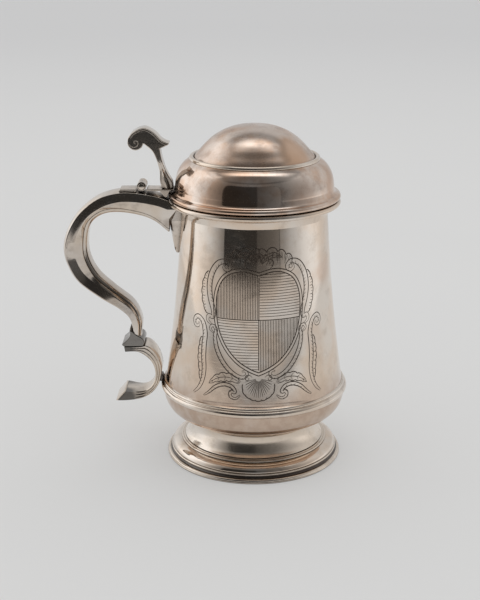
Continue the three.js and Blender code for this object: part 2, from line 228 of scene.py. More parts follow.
def lofted(rings, closed=False):
    """A solid through rings of equal point counts: capped at both ends, or closed back to the first ring."""
    count = len(rings[0])
    points = [p for ring in rings for p in ring]
    faces = []
    for i in range(len(rings) - (not closed)):
        here, there = i * count, (i + 1) % len(rings) * count
        for k in range(count):
            n = (k + 1) % count
            faces.append((here + k, here + n, there + n, there + k))
    if not closed:
        faces.append(tuple(reversed(range(count))))
        faces.append(tuple(range(len(points) - count, len(points))))
    return points, faces


def rounding(edge, steps=4):
    """A rounded edge, as distances back from the end and in from the side."""
    bend = [pi / 2 * k / steps for k in range(steps + 1)]
    return [(edge * (1 - sin(a)), edge * (1 - cos(a))) for a in bend]


def crosswise(outline, half_width, edge, steps=4, taper=None):
    """A counterclockwise (x, z) outline as a solid across the handle plane, with rounded edges."""
    side = [(half_width - back, inside) for back, inside in rounding(edge, steps)] + [(half_width, edge + 0.25)]
    levels = [(-y, d) for y, d in reversed(side)] + side
    rings = []
    for y, d in levels:
        ring = inset(outline, d)
        rings.append([(x, y * (taper(z) if taper else 1), z) for x, z in ring])
    return lofted(rings)


def around(sides):
    """Equal angles round a circle."""
    return [TURN * k / sides for k in range(sides)]


def bar(radius, start, end, bore=0.0, edge=0.25):
    """A round bar or tube on the hinge axis with rounded ends."""
    line = [(start + back, radius - inside) for back, inside in rounding(edge)[::-1]]
    line += [(end - back, radius - inside) for back, inside in rounding(edge)]
    if bore:
        line += [(end, bore), (start, bore)]
    rings = [[(HINGE_X + r * cos(a), y, HINGE_Z + r * sin(a)) for a in around(48)] for y, r in line]
    return lofted(rings, closed=bool(bore))


def tube(path, radius):
    """A round wire along (x, y, z) points, tapering at its ends."""
    rings = []
    for i, (at, way) in enumerate(zip(np.array(path, float), directions(path))):
        across = unit(np.cross(way, (0, 1, 0)))
        up = np.cross(across, way)
        share = i / (len(path) - 1)
        size = radius * min(1, 6 * share + 0.3, 6 * (1 - share) + 0.3)
        rings.append([tuple(at + size * (cos(a) * across + sin(a) * up)) for a in around(10)])
    return lofted(rings)


# ---- node materials

def grey(level):
    return (level, level, level)


class Graph:
    """A short way to write node trees."""

    def __init__(self, tree):
        self.tree = tree
        tree.nodes.clear()

    def node(self, kind, inputs=None, **settings):
        made = self.tree.nodes.new("ShaderNode" + kind)
        for key, value in settings.items():
            setattr(made, key, value)
        for key, value in (inputs or {}).items():
            if isinstance(value, bpy.types.NodeSocket):
                self.tree.links.new(value, made.inputs[key])
            else:
                made.inputs[key].default_value = value
        return made

    def where(self, kind="Object"):
        return self.node("TexCoord").outputs[kind]

    def apart(self, vector):
        return self.node("SeparateXYZ", {0: vector}).outputs

    def math(self, operation, a, b=0.0):
        return self.node("Math", {0: a, 1: b}, operation=operation).outputs[0]

    def times(self, a, b):
        return self.math("MULTIPLY", a, b)

    def plus(self, a, b):
        return self.math("ADD", a, b)

    def minus(self, a, b):
        return self.math("SUBTRACT", a, b)

    def round_ramp(self, share, table):
        """Brightness round the body axis, from a table of (degrees from the front, brightness)."""
        made = self.node("ValToRGB", {"Fac": share})
        line = made.color_ramp.elements
        line.remove(line[1])
        for k, (degrees, value) in enumerate(table):
            at = degrees / 360 + 0.5
            stop = line.new(at) if k else line[0]
            stop.position = at
            stop.color = (*grey(value), 1)
        return made.outputs[0]

    def mix(self, factor, a, b):
        a, b = [c if isinstance(c, bpy.types.NodeSocket) else (*c, 1) for c in (a, b)]
        return self.node("Mix", {0: factor, 6: a, 7: b}, data_type="RGBA").outputs[2]

    def noise(self, vector, scale, detail=3.0, rough=0.55):
        return self.node("TexNoise", {
            "Vector": vector, "Scale": scale, "Detail": detail, "Roughness": rough}).outputs[0]

    def step(self, value, low, high):
        return self.node("MapRange", {
            "Value": value, "From Min": low, "From Max": high}, interpolation_type="SMOOTHSTEP").outputs[0]

    def principled(self, colour, roughness, **more):
        """The finished surface. More settings are named as on the shader, with _ for a space."""
        inputs = {"Base Color": colour, "Roughness": roughness}
        inputs.update({key.replace("_", " "): value for key, value in more.items()})
        self.output(self.node("BsdfPrincipled", inputs))

    def output(self, shader, kind="Material"):
        self.node("Output" + kind, {"Surface": shader.outputs[0]})


def new_material(name):
    material = bpy.data.materials.new(name)
    material.use_nodes = True
    return material, Graph(material.node_tree)


# How fine each unevenness in the silver is. The slow clouds of tone have each metal's own mottle.
RAGGED, STAINS, BLOTCHES, DIMPLES, SPECKS = 70, 95, 140, 420, 900
# Corners, hollows and places near other parts go dark by occlusion: partly tarnish, partly painted shade.
TARNISH_AND_SHADE, TARNISH_AND_SHADE_REACH = (0.10, 0.075, 0.055), 0.0035  # its colour, and metres out from a corner
LINE_STRETCH, CROSS_STRETCH = (60, 60, 2600), (90, 90, 3800)
CROSS_TURN = (0.4, 0.9, 0.3)
RELIEF, RELIEF_SHARE = 0.000006, 0.35  # metres of height in the scratches


def silver(name, clean, warm, dull, rough, grime_and_shade=0.6, scratch=1.0, band=None, stained=0.45, mottle=26,
           dome=None, patches=()):
    """Worked silver: two tones in slow clouds, dull stains, dark tarnish and painted shade in the corners, fine
    scratches.

    band: four heights in metres where a darker belt starts, is full, fades and ends, its amount and tone. On
    the bowl it is painted dark reflection, at the dome's foot painted shade.
    dome: two heights over which the metal dulls, and by how much.
    patches: ragged patches of another tone, each a centre and radius in millimetres, an amount and a tone; on
    the barrel and lid they are stains.
    """
    material, g = new_material(name)
    where = g.where()
    height = g.apart(where)[2]
    clouds = g.noise(where, mottle, 4)
    colour = g.mix(g.step(clouds, 0.40, 0.60), clean, warm)
    stain = g.step(g.noise(where, STAINS, 5, 0.65), 0.48, 0.74)
    colour = g.mix(g.times(stain, stained), colour, dull)
    speck = g.step(g.noise(where, SPECKS, 2), 0.70, 0.80)
    colour = g.mix(g.times(speck, 0.35), colour, dull)
    if band:
        low_clear, low_full, high_full, high_clear, amount, tone = band
        share = g.times(g.step(height, low_clear, low_full), g.step(height, high_clear, high_full))
        blotchy = g.plus(0.8, g.times(g.step(g.noise(where, BLOTCHES, 4), 0.35, 0.62), 0.5))
        colour = g.mix(g.math("MINIMUM", g.times(g.times(share, amount), blotchy), 0.95), colour, tone)
    for centre, radius, amount, tone in patches:
        size = radius * MM
        away = g.node("VectorMath", {0: where, 1: place(*centre)}, operation="DISTANCE")
        ragged = g.plus(away.outputs["Value"], g.times(g.minus(g.noise(where, RAGGED, 4), 0.5), 0.9 * size))
        colour = g.mix(g.times(g.step(ragged, size, 0.35 * size), amount), colour, tone)
    # Occlusion darkens corners, hollows and places near other parts: partly tarnish in the hollows, partly
    # painted shade.
    corner = g.node("AmbientOcclusion", {"Distance": TARNISH_AND_SHADE_REACH}, samples=6, only_local=False)
    tarnish_and_shade = g.times(g.step(corner.outputs["AO"], 0.82, 0.35), grime_and_shade)
    colour = g.mix(tarnish_and_shade, colour, TARNISH_AND_SHADE)
    # Polishing lines run round the piece, and a few scratches cross them.
    flat = g.node("Mapping", {"Vector": where, "Scale": LINE_STRETCH})
    lines = g.noise(flat.outputs[0], 1.0, 2)
    tilted = g.node("Mapping", {"Vector": where, "Rotation": CROSS_TURN, "Scale": CROSS_STRETCH})
    cross = g.step(g.noise(tilted.outputs[0], 1.0, 1), 0.66, 0.74)
    roughness = g.plus(g.times(clouds, rough * 0.7), rough * 0.6)
    for share, amount in ((stain, 0.06), (cross, 0.05 * scratch), (tarnish_and_shade, 0.25)):
        roughness = g.plus(roughness, g.times(share, amount))
    if dome:
        roughness = g.plus(roughness, g.times(g.step(height, dome[0], dome[1]), dome[2]))
    relief = g.plus(g.times(lines, 0.35 * scratch), g.times(cross, -0.45 * scratch))
    relief = g.plus(relief, g.times(g.noise(where, DIMPLES, 2), 0.8))
    bump = g.node("Bump", {"Strength": RELIEF_SHARE, "Distance": RELIEF, "Height": relief})
    g.principled(colour, roughness, Metallic=1.0, Normal=bump.outputs[0])
    return material


def engraved_line():
    """The cut of the graver, filled with dark tarnish."""
    material, g = new_material("engraved_line")
    where = g.where()
    colour = g.mix(g.step(g.noise(where, 500, 3), 0.35, 0.7), (0.05, 0.038, 0.03), (0.13, 0.10, 0.08))
    g.principled(colour, g.plus(g.times(g.noise(where, 800, 2), 0.3), 0.35), Metallic=0.85)
    return material


BODY_SILVER = silver(
    "body_silver", (0.81, 0.735, 0.66), (0.78, 0.64, 0.52), (0.52, 0.43, 0.35), 0.065,
    # The band darkens and browns the bowl and the barrel's foot: painted dark reflection.
    band=(0.0288, 0.0296, 0.050, 0.068, 0.70, (0.56, 0.42, 0.33)),
    patches=[
        ((44, -22, 132), 15, 0.65, (0.66, 0.49, 0.38)),
        ((36, -36, 92), 13, 0.45, (0.70, 0.55, 0.44)),
        ((-30, -46, 72), 14, 0.55, (0.70, 0.54, 0.42)),
        ((6, 50, 110), 26, 0.5, (0.68, 0.53, 0.42)),
        ((-14, -46, 150), 9, 0.35, (0.66, 0.52, 0.42))])
FOOT_SILVER = silver("foot_silver", (0.83, 0.76, 0.69), (0.80, 0.69, 0.58), (0.52, 0.43, 0.35), 0.19)
LID_SILVER = silver(
    "lid_silver", (0.79, 0.68, 0.60), (0.66, 0.46, 0.34), (0.36, 0.27, 0.22), 0.085, mottle=38, stained=0.55,
    # The band darkens the dome's foot just above the bead: painted shade.
    dome=(0.1995, 0.2025, 0.12), band=(0.1990, 0.2000, 0.2045, 0.2120, 0.32, (0.50, 0.37, 0.29)),
    patches=[
        ((2, -2, 222), 22, 0.45, (0.60, 0.50, 0.44)),
        ((24, -22, 207), 17, 0.75, (0.64, 0.42, 0.28)),
        ((-4, -30, 206), 12, 0.5, (0.62, 0.45, 0.34)),
        ((-12, 6, 219), 16, 0.6, (0.60, 0.53, 0.49)),
        ((30, -40, 184), 15, 0.6, (0.60, 0.45, 0.36)),
        ((-20, 36, 190), 22, 0.6, (0.62, 0.44, 0.33))])
BEAD_SILVER = silver("bead_silver", (0.84, 0.76, 0.68), (0.78, 0.66, 0.55), (0.45, 0.36, 0.30), 0.09, 0.8)
WIRE_SILVER = silver("wire_silver", (0.78, 0.69, 0.60), (0.72, 0.62, 0.52), (0.40, 0.33, 0.28), 0.10, 0.9)
HANDLE_SILVER = silver(
    "handle_silver", (0.77, 0.71, 0.65), (0.72, 0.62, 0.52), (0.34, 0.28, 0.24), 0.11, 0.9, 1.4, stained=0.6,
    band=(0.086, 0.098, 0.138, 0.158, 0.2, (0.30, 0.24, 0.21)),
    # Near-black patches on both cheeks of the lower scroll, at its two ends.
    patches=[((-85, side * 9, height), radius, 0.9, (0.10, 0.095, 0.09))
             for side in (-1, 1) for height, radius in ((39.5, 13), (73, 8))])
CAST_SILVER = silver("cast_silver_looks", (0.76, 0.69, 0.62), (0.68, 0.58, 0.49), (0.32, 0.27, 0.23), 0.12,
                     1.0, 1.6, stained=0.6)
# A darker copy of the silver for the blocks where the handle meets the body: painted shade.
SHADED_SILVER = silver("shaded_silver", (0.25, 0.235, 0.22), (0.17, 0.15, 0.14), (0.12, 0.10, 0.09), 0.14,
                     0.4, 1.4, stained=0.7)
# A near-black copy of the silver for the foot's cove: painted dark reflection.
DARK_REFLECTION_SILVER = silver("dark_reflection_silver", (0.15, 0.135, 0.125), (0.10, 0.08, 0.07), (0.04, 0.03, 0.025), 0.16,
                      0.9)
GRAVER_LINE = engraved_line()


# ---- body

def wall_radius(height):
    """Outside radius of the barrel: an even flare with a slight fullness above the middle."""
    down = (LIP_TOP - height) / (LIP_TOP - BAND_TOP)
    full = down / FULLEST
    return (MOUTH_RADIUS + (BELLY_RADIUS - MOUTH_RADIUS) * down ** FLARE_POWER
            + FULLNESS * full ** 2 * exp(2 - 2 * full))


def wall_run(steps, depth=0.0):
    """Points up the wall from the band, at a depth inside its outer face."""
    heights = [BAND_TOP + (WALL_TOP - BAND_TOP) * k / steps for k in range(steps + 1)]
    return [(wall_radius(z) - depth, z) for z in heights]


BOWL = [(44, FLOOR), (48, 30.2), (52, 31.4), (55, 33.4), (57.6, 36.6), (59.4, 41), (60.2, 46)]


def build_body():
    bowl = spline(BOWL, 30)
    inner_bowl = spline([(r - WALL, z + WALL * (1 - (r - BOWL[0][0]) / 20)) for r, z in BOWL], 24)
    barrel = [(0, FLOOR), (20, FLOOR)] + bowl + wall_run(52)
    barrel += [(MOUTH_RADIUS - 0.25, LIP_TOP), (MOUTH_RADIUS - WALL + 0.25, LIP_TOP)]
    barrel += wall_run(30, WALL)[::-1] + inner_bowl[::-1] + [(20, FLOOR + WALL), (0, FLOOR + WALL)]
    lathed("barrel_wall", barrel, BODY_SILVER, BODY, POLISHED, "barrel",
           segments=FINE_SEGMENTS, ripple=BODY_RIPPLE)

    inner = MOUTH_RADIUS + 0.2
    lip = [(inner - 0.2, 163.8)]
    lip += spline([(46.95, 164.0), (47.05, 165.4), (47.4, 167.0), (48.5, 169.0), (52.2, 170.3)], 20)
    lip += arc((RIM_RADIUS - 1.8, 172.1), 1.8, -70, 86, 16) + [(51, 173.96), (48.6, 173.8), (inner, 173.9)]
    lathed("lip_edge", lip, BODY_SILVER, BODY, POLISHED, "lip_moulding")

    band = [(59.9, 45.9)] + arc((59.45, 48.2), 2.2, -66, 62, 22) + [(60.1, 50.25)]
    band += arc((58.9, 51.3), 1.15, -38, 78, 12) + [(58.45, 52.7), (58.3, 49.5)]
    lathed("belly_band", band, BEAD_SILVER, BODY, POLISHED, "mid_band")

    collar = spline([(45.9, 12.65), (43.2, 15.6), (41, 21.5), (41.4, 26), (44.4, 29.4)], 28)
    collar += [(40.4, 29.4)] + spline([(39.6, 26.5), (39.4, 21.5), (41.5, 15.2), (43.6, 12.6)], 14)
    lathed("foot_waist", collar, FOOT_SILVER, BODY, POLISHED, "foot_collar")

    reed = [(43.6, 10.3), (48.2, 10.5)] + arc((47.75, 11.15), 0.72, -60, 96, 12)
    reed += arc((46.6, 11.75), 0.55, 0, 100, 8) + [(43.6, 12.45)]
    lathed("foot_reed", reed, WIRE_SILVER, BODY, WORN, "foot_reeded_wire")

    flare = spline([(54.5, 6.0), (54.55, 6.7), (53.4, 8.5), (50.9, 9.9), (48.3, 10.55)], 22) + [(44.2, 10.45)]
    flare += spline([(47.4, 8.7), (50.6, 7.4), (52.4, 6.25)], 8)
    lathed("foot_spread", flare, BODY_SILVER, BODY, POLISHED, "foot_flare")

    base = [(50.8, 0), (57.4, 0)] + arc((57.2, 0.8), 0.8, -60, 40, 8)
    base += spline([(57.75, 1.5), (57.5, 2.3), (56.9, 2.75), (56.2, 2.85)], 8)
    base += [(55.4, 2.9), (54.6, 3.0), (54.2, 4.3)] + arc((54.5, 5.0), 0.72, -60, 80, 12)
    base += [(53.6, 6.0), (50.8, 6.05)]
    # The cove under the foot's bead is near-black: painted dark reflection.
    cove = spline([(56.4, 2.75), (55.5, 3.0), (54.9, 3.5), (54.65, 4.1), (54.7, 4.5)], 14)
    cove += [(53.2, 4.5), (53.2, 2.75)]
    lathed("foot_cove", cove, DARK_REFLECTION_SILVER, BODY, WORN)
    lathed("foot_edge", base, WIRE_SILVER, BODY, WORN, "foot_base_wire")


# ---- lid

SHOULDER = [(50.6, 182.3), (50.1, 186.4), (49.1, 190.1), (47.2, 193.8), (44.5, 196.9), (41.3, 199)]
DOME_TOP = 220.6
DOME = [(38.5, 199.9), (36.9, 202.3), (34, 205.4), (30.6, 209.1), (26, 213.1), (19.4, 216.9), (11, 219.6),
        (0, DOME_TOP)]


def build_lid():
    shoulder, dome = spline(SHOULDER, 26), spline(DOME, 44)
    step = [(40.9, 198.9), (40.2, 199.2), (39.4, 200.0)]
    cover = [(50.6, 174.5)] + shoulder + step + dome[:-1] + [(0, DOME_TOP), (0, DOME_TOP - 1.2)]
    cover += shifted(dome[:-1], -0.6, -1.2)[::-1] + shifted(shoulder, -1.2, -0.6)[::-1] + [(49.4, 174.5)]
    lathed("lid_shell", cover, LID_SILVER, LID, POLISHED, "lid_cover",
           segments=FINE_SEGMENTS, ripple=LID_RIPPLE)

    bead = [(38.9, 198.3)] + arc((39.95, 199.7), 1.5, -62, 148, 28) + [(38.75, 199.9)]
    lathed("lid_step_bead", bead, BEAD_SILVER, LID, WORN, "lid_step_wire")

    rim = [(50.65, 174.35), (53.6, 174.35)] + arc((53.3, 175.95), 1.6, -72, 66, 18)
    rim += spline([(53.5, 177.6), (52.2, 178), (51.2, 179), (50.8, 180.6), (50.5, 182.3), (50.2, 184.2)], 20)
    lathed("lid_rim", rim, LID_SILVER, LID, POLISHED, "lid_rim_moulding")

    outer = 44.8
    ring = [(outer - 1.2, 169.6), (outer - 0.6, 169.5), (outer - 0.1, 171), (outer, 174.4), (49.3, 174.4)]
    ring += [(49.3, 175.5), (outer - 1.2, 175.5)]
    lathed("lid_locating_ring", ring, WIRE_SILVER, LID, WORN, "lid_bezel", segments=128)


# ---- handle

UPPER_BACK = [
    (-55.2, 173.8), (-63, 176.4), (-75.5, 178.4), (-86, 178.6), (-98, 175.6), (-107, 170), (-115, 162),
    (-121, 151), (-123.2, 140), (-121, 129.5), (-114.4, 118.4), (-101, 107.9), (-87.9, 99.9), (-81.5, 93),
    (-79.7, 83.4)]
UPPER_INSIDE = [
    (-55.2, 151.9), (-63.8, 159.0), (-74, 162.9), (-88, 164.7), (-98.2, 162.6), (-105, 156), (-107.2, 144),
    (-106, 134), (-100.6, 123.8), (-90, 113.8), (-78.6, 104.2), (-73.4, 93.2), (-73.8, 83)]
# Which point of the inside line faces each point of the back.
UPPER_FACING = [0, 0.8, 1.9, 2.85, 3.5, 4.25, 5.1, 5.85, 6.4, 6.85, 7.6, 8.6, 9.45, 10.65, 12]
CROWN = [0.6, 0.6, 0.6, 0.7, 0.8, 1.0, 1.3, 1.5, 1.5, 1.4, 1.2, 1.1, 1.0, 1.0, 0.9]

LOWER_BACK = [
    (-85.2, 74.9), (-79, 75.0), (-74.2, 75.3), (-70.8, 76.0), (-67.2, 73.9), (-63.8, 69.4), (-61.7, 64.2),
    (-60.9, 58.6), (-62.2, 51), (-64.6, 46.2), (-68.4, 42), (-73.4, 39.1), (-79, 37.8), (-84.6, 37.5),
    (-90.2, 37.6)]
LOWER_INSIDE = [
    (-84.6, 71.6), (-80, 71.6), (-75.4, 70.7), (-71.2, 68.1), (-67.8, 64.6), (-65.7, 59.8), (-65.2, 54),
    (-66.8, 48.8), (-69.6, 45.3), (-73.4, 43.6), (-79, 43.4), (-84.7, 44.0)]
LOWER_FACING = [0, 1, 1.9, 2.5, 3, 3.7, 4.4, 5.3, 6.5, 7.3, 8.1, 9, 9.9, 10.5, 11]


def at_knot(points, knots):
    """Points of the spline through points, at the given knot values."""
    fine = 40
    run = spline(points, fine * (len(points) - 1))
    return [tuple(np.interp(k * fine, range(len(run)), [p[c] for p in run]) for c in (0, 1)) for k in knots]


def stations(back, inside, facing, count):
    knots = np.linspace(0, len(back) - 1, count)
    smooth_facing = [p[1] for p in at_knot(list(enumerate(facing)), knots)]
    return at_knot(back, knots), at_knot(inside, smooth_facing), knots


# The handle's back: half its width, the rounding of its edge, and how sharply its crown falls away.
BACK_HALF, BACK_CORNER, BACK_FALL = 7.9, 0.45, 2.4
# Half widths down each cheek, from its top to its foot: over the curve's top, and what its lower turn adds.
CHEEK = [(8.38, 0.6), (8.7, -0.6), (8.98, -1.7), (8.97, -1.77), (8.85, -1.65), (8.1, -0.95)]
# Knot values between which the cheeks' facets turn over, and how far they have turned at each.
TURN_KNOTS, TURNED = [7.4, 8.6, 9.9, 11.6], [0, 1, 1, 0.42]


def upper_section(depth, crown, turn, part):
    """Half of the handle's section as (depth, half width) points, from the back to the seam or inwards.

    Of each cheek's two facets, the outer one leans out over the curve's top and in round its foot (turn 1).
    """
    seam = depth - min(2.9, 0.24 * depth)
    if part == "inside":
        run = [(seam + 0.04, 0), (seam + 0.04, 6.2), (seam + 0.30, 6.5), ((seam + depth) / 2, 6.2)]
        return run + [(depth - 0.9, 5.8), (depth - 0.35, 5.2), (depth - 0.08, 4.2), (depth, 2.5), (depth, 0)]
    run = [(crown * (y / BACK_HALF) ** BACK_FALL, y) for y in np.linspace(0, BACK_HALF, 9)]
    run += [(crown + BACK_CORNER * (1 - cos(a)), BACK_HALF + BACK_CORNER * sin(a))
            for a in (0.5, 1.0, 1.4)]
    low, edge = crown + 0.9, max(min(0.60 * depth, crown + 6.0), crown + 1.6)
    depths = [low, (low + edge) / 2, edge - 0.3, edge, edge + 0.3, (edge + seam) / 2]
    run += [(d, wide + more * turn) for d, (wide, more) in zip(depths, CHEEK)]
    return run + [(seam - 0.3, 7.1), (seam - 0.04, 6.8), (seam, 0)]


def swept(back, inside, sections):
    """Rings through half sections at stations between the back and the inside line."""
    rings = []
    for (ax, az), (bx, bz), half in zip(back, inside, sections):
        size = hypot(bx - ax, bz - az)
        dx, dz = (bx - ax) / size, (bz - az) / size
        near = [(d, -y) for d, y in half]
        far = [(d, y) for d, y in reversed(half) if y > TINY]
        rings.append([(ax + dx * d, y, az + dz * d) for d, y in near + far])
    return rings


def under_lip(ring):
    """The handle's upper end, carried under the lip; below that it stops against the drop."""
    return [(x + (5.5 if z > 165 else 0.8), y * 0.985, z) for x, y, z in ring]


def evened(outline, count):
    """A closed outline cut into equal steps."""
    return even(outline + outline[:1], count)[:-1]


def build_upper_handle():
    back, inside, knots = stations(UPPER_BACK, UPPER_INSIDE, UPPER_FACING, 150)
    crowns = np.interp(knots, range(len(CROWN)), CROWN)
    turns = np.interp(knots, TURN_KNOTS, TURNED)
    for part, name, node in (("back", "handle_back", "handle_upper_back"),
                             ("inside", "handle_inside_strip", "handle_upper_inside")):
        sections = [upper_section(dist(a, b), c, turn, part)
                    for a, b, c, turn in zip(back, inside, crowns, turns)]
        rings = swept(back, inside, sections)
        rings = [under_lip(rings[0])] + rings + [[(x + 0.2, y, z - 2.4) for x, y, z in rings[-1]]]
        piece(name, [lofted(rings)], HANDLE_SILVER, BODY, [node], crease=24)

    spur = [(-86.6, 76.4), (-85.8, 75.3), (-80, 75.35), (-72.9, 75.55), (-71.9, 76.9), (-71.8, 78.8),
            (-72.7, 80.6), (-74.2, 81.8), (-77.0, 83.4)]
    spur += spline([(-81.3, 87.2), (-81.05, 84.0), (-81.5, 82.2), (-83.0, 80.1), (-84.8, 78.4)], 16)
    # The spur block is painted dark as shade.
    piece("handle_spur_block", [crosswise(evened(spur + [(-86.3, 77.1)], 72), 9.0, 0.5)],
          SHADED_SILVER, BODY, ["handle_spur"])


REEDS, REED_CUT = 3, 0.42  # along each side of the lower scroll, and the depth of the cuts between them
SCROLL_HALF, SCROLL_THINS, SCROLL_FLARES = 8.95, 1.3, 1.3


def reeded(depth, low, high, along):
    """The scroll's section between two shares of its depth: reeds along each side, plain at the ends."""
    shares = np.linspace(low, high, 1 + int(round(24 * (high - low))))
    worked = smooth(along / 0.14) * smooth((0.90 - along) / 0.14)
    wide = SCROLL_HALF + SCROLL_FLARES * smooth((along - 0.84) / 0.16)
    cuts = [SCROLL_THINS * f + REED_CUT * (1 - abs(sin(REEDS * pi * f))) for f in shares]
    return [(f * depth, wide - worked * cut) for f, cut in zip(shares, cuts)]


def build_lower_handle():
    back, inside = stations(LOWER_BACK, LOWER_INSIDE, LOWER_FACING, 110)[:2]
    for name, node, low, high in (("handle_scroll_back", "handle_lower_back", 0, 0.62),
                                  ("handle_scroll_inside", "handle_lower_inside", 0.64, 1)):
        sections = []
        for k, (a, b) in enumerate(zip(back, inside)):
            half = reeded(dist(a, b), low, high, k / (len(back) - 1))
            first = [(half[0][0], 0)]
            if not low:
                half[0] = (0.25, half[0][1])
                first = [(0, 0), (0, 7.6)]
            sections.append(first + half + [(half[-1][0], 0)])
        piece(name, [lofted(swept(back, inside, sections))], HANDLE_SILVER, BODY, [node], crease=24)

    plate = [(-91.4, 37.75), (-90.4, 37.65), (-84.9, 44.0), (-85.75, 44.2)]
    piece("handle_end_cap", [crosswise(plate, 10.0, 0.2)], WIRE_SILVER, BODY, ["handle_end_plate"])


DROP_FOOT, DROP_HEIGHT, DROP_HALF = 138.2, 31.2, 7.0


def build_fixings():
    """The drop behind the handle's upper end, and the socket that its lower scroll stands in."""
    rings = []
    for share in np.linspace(0, 1, 34):
        z = DROP_FOOT + share * DROP_HEIGHT
        width = 0.9 + DROP_HALF * min(1, share * 1.5) ** 0.9
        root = wall_radius(z) - 0.6
        reach = wall_radius(z) + 2.2 + 4.2 * min(1, share * 1.6) ** 0.75 + 1.2 * share ** 2
        side = [(reach, 0.0), (reach - 0.2, 0.5 * width), (reach - 1.2, 0.93 * width), (reach - 1.8, width),
                (sqrt(root ** 2 - width ** 2), width)]
        rings.append([(-x, -y, z) for x, y in side] + [(-x, y, z) for x, y in side[:0:-1]])
    tip = [(x * 0.985, y * 0.3, z - 1.2) for x, y, z in rings[0]]
    piece("handle_drop", [lofted([tip] + rings)], CAST_SILVER, BODY, ["upper_drop"], crease=22)

    # The socket is painted dark as shade.
    socket = [(-62.9, 49.0), (-60.2, 48.4), (-59.8, 51.4), (-60.6, 53.6), (-62.0, 53.9)]
    piece("handle_socket", [crosswise(evened(socket, 40), 3.2, 0.5)],
          SHADED_SILVER, BODY, ["lower_socket"])


# ---- hinge and thumbpiece

LEAF_HALF, HINGE_WIDTH, KNUCKLES, KNUCKLE_GAP = 6.15, 12.4, 5, 0.2
KNUCKLE_RADIUS, KNUCKLE_BORE, PIN_RADIUS, HEAD_RADIUS, HEAD_THICK = 3.0, 1.22, 1.1, 2.2, 0.85


def build_hinge():
    leaf = [(-86, 178.55), (-74.9, 178.2), (-74.6, 178.8), (-74.75, 179.85), (-80, 179.9), (-85.2, 179.75)]
    piece("hinge_leaf", [crosswise(leaf, LEAF_HALF, 0.22)], CAST_SILVER, BODY, ["handle_hinge_leaf"])
    strap = [(-68.3, 178.85), (-60, 178.8), (-57.2, 175.2), (-55.6, 174.6), (-54.9, 176.2), (-53.6, 178.9),
             (-51, 179.2), (-51, 179.9), (-60, 179.95), (-68.4, 179.9), (-68.15, 179.3)]
    piece("hinge_strap", [crosswise(strap, LEAF_HALF, 0.22)], CAST_SILVER, LID, ["lid_hinge_strap"])
    pitch = HINGE_WIDTH / KNUCKLES
    for k in range(KNUCKLES):
        start = -HINGE_WIDTH / 2 + k * pitch + KNUCKLE_GAP / 2
        owner, body = ("handle", BODY) if k % 2 == 0 else ("lid", LID)
        knuckle = bar(KNUCKLE_RADIUS, start, start + pitch - KNUCKLE_GAP, KNUCKLE_BORE)
        piece(f"hinge_knuckle_{k + 1}", [knuckle], CAST_SILVER, body, [f"{owner}_knuckle_{k + 1}"])
    heads = [bar(HEAD_RADIUS, low, low + HEAD_THICK, 0, 0.6) for low in (-7.1, 6.25)]
    piece("hinge_rivet", [bar(PIN_RADIUS, -6.5, 6.5, 0, 0.3)] + heads, WIRE_SILVER, BODY, ["hinge_pin"])


def thumb_width(z):
    """The stem is narrower across than the scroll above it."""
    return 0.74 + 0.26 * smooth((z - 192.0) / 4.5)


SCROLL_EYE, EYE_RADIUS, THUMB_HALF, THUMB_FOOT = (-74.8, 209.6), 5.0, 5.2, 180.0


def ridged_stem(front, inside):
    """The stem's solid, widest at its foot. Two facets meet along the middle of each cheek."""
    front, inside = even(front, 24), even(inside, 24)
    sections = []
    for k, (a, b) in enumerate(zip(front, inside)):
        w, d = 5.26 * thumb_width(a[1]) + 1.2 * k / (len(front) - 1), dist(a, b)
        sections.append([(0.1, 0), (0.1, 0.55 * w), (d / 2 - 0.25, w), (d / 2 + 0.25, w), (d - 0.1, 0.55 * w),
                         (d - 0.1, 0)])
    return lofted(swept(front, inside, sections))


def build_thumbpiece():
    stem_inside = spline([(-58.6, THUMB_FOOT), (-59.8, 184.5), (-60, 191), (-61.2, 197), (-64.2, 204),
                          (-69.4, 208.6)], 30)
    volute = arc(SCROLL_EYE, EYE_RADIUS, -12, -178, 26)
    arch = spline([(-79.7, 211.6), (-76.4, 216), (-69.5, 218.8), (-63.2, 216), (-58, 210.9),
                   (-53.9, 209.2)], 40)
    tip = [(-53.7, 208.8), (-54.6, 207.9), (-56.8, 206.9)]
    stem_front = spline([(-59.6, 205.6), (-58.6, 199.6), (-57, 194), (-54.6, 188.6), (-52.2, 184.4),
                         (-51.6, THUMB_FOOT)], 24)
    # The outline runs clockwise, and crosswise() wants it the other way.
    outline = (stem_inside + volute + arch[1:] + tip + stem_front)[::-1]
    shells = [crosswise(outline, THUMB_HALF, 0.4, 5, thumb_width)]
    shells.append(ridged_stem(stem_front[7:], stem_inside[::-1][11:]))
    # The rolled eye and the moulded upper edge stand up from both cheeks.
    eye = spiral(SCROLL_EYE, -3.2, 0.19, 4.5, 48)
    upper = even(inset(arch, 0)[2:-2], 46)
    for y in (0.05 - THUMB_HALF, THUMB_HALF - 0.05):
        shells.append(tube([(x, y, z) for x, z in eye], 0.27))
        for depth, size in ((0.5, 0.24), (1.5, 0.20)):
            shells.append(tube([(x, y, z) for x, z in beside(upper, [depth] * len(upper))], size))
    piece("thumbpiece_scroll", shells, CAST_SILVER, LID, ["thumbpiece"], crease=38)


# ---- engraving

ART_MIDDLE = 3.0  # millimetres round the wall from the front line to the cartouche's middle
ROOTED, PROUD = -0.05, 0.018  # how far each stroke's foot and top are out from the wall
FIELD_CROSS = 108.0  # height at which the field is quartered
FIELD = [(0, 75), (6, 77.6), (13.5, 82.5), (20.5, 90.5), (25.4, 101), (27.2, 113), (26.4, 124), (22.4, 132.6),
         (16, 137), (8.5, 138), (0, 135.6)]


